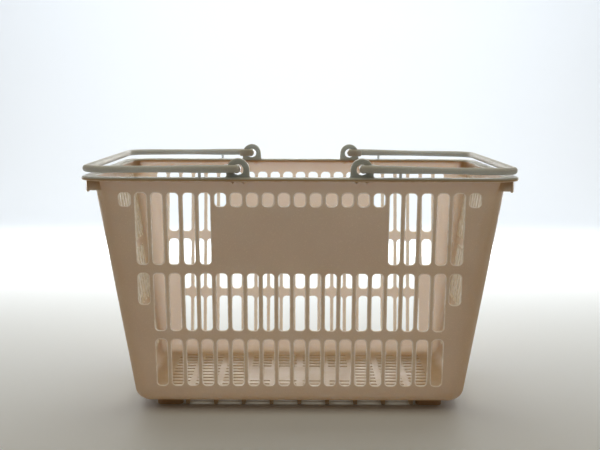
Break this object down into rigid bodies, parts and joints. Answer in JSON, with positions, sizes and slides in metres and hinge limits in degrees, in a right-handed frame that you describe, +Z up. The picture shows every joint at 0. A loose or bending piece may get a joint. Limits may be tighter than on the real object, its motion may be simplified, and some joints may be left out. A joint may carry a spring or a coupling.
{
  "type": "shopping basket",
  "caption": "Hand-carried shopping basket with sloping slotted plastic walls, a flanged rim and two folding bail handles hinged on upright ears.",
  "frame": {"origin": "on the table, below the middle of the basket", "axes": "+X along the long side towards the right handle, +Y from the front wall to the back wall, +Z up"},
  "size_m": [0.481, 0.3378, 0.2924],
  "materials": {
    "body_plastic": "satin moulded polypropylene, slightly translucent",
    "handle_plastic": "satin moulded polypropylene"
  },
  "bodies": {
    "basket_body": {"front_wall": "body_plastic", "back_wall": "body_plastic", "left_end_wall": "body_plastic", "right_end_wall": "body_plastic", "corner_wall_front_left": "body_plastic", "corner_wall_back_left": "body_plastic", "corner_wall_front_right": "body_plastic", "corner_wall_back_right": "body_plastic", "base_floor": "body_plastic", "base_edge_front": "body_plastic", "base_edge_back": "body_plastic", "base_edge_left": "body_plastic", "base_edge_right": "body_plastic", "base_corner_front_left": "body_plastic", "base_corner_back_left": "body_plastic", "base_corner_front_right": "body_plastic", "base_corner_back_right": "body_plastic", "foot_front_left": "body_plastic", "foot_back_left": "body_plastic", "foot_front_right": "body_plastic", "foot_back_right": "body_plastic", "rim_front": "body_plastic", "rim_back": "body_plastic", "rim_left": "body_plastic", "rim_right": "body_plastic", "rim_corner_front_left": "body_plastic", "rim_corner_back_left": "body_plastic", "rim_corner_front_right": "body_plastic", "rim_corner_back_right": "body_plastic", "left_end_skirt": "body_plastic", "right_end_skirt": "body_plastic", "handle_ear_front_left": "body_plastic", "handle_ear_back_left": "body_plastic", "handle_ear_front_right": "body_plastic", "handle_ear_back_right": "body_plastic", "ear_web_inboard_front_left": "body_plastic", "ear_web_outboard_front_left": "body_plastic", "ear_web_inboard_back_left": "body_plastic", "ear_web_outboard_back_left": "body_plastic", "ear_web_inboard_front_right": "body_plastic", "ear_web_outboard_front_right": "body_plastic", "ear_web_inboard_back_right": "body_plastic", "ear_web_outboard_back_right": "body_plastic"},
    "left_handle_body": {"left_handle": "handle_plastic"},
    "right_handle_body": {"right_handle": "handle_plastic"}
  },
  "joints": [
    {"name": "left_handle_hinge", "type": "hinge", "parent": "basket_body", "child": "left_handle_body", "pos_m": [-0.0684, 0, 0.2806], "axis": [0, 1, 0], "range_deg": [0, 113]},
    {"name": "right_handle_hinge", "type": "hinge", "parent": "basket_body", "child": "right_handle_body", "pos_m": [0.0684, 0, 0.2806], "axis": [0, -1, 0], "range_deg": [0, 113]}
  ]
}
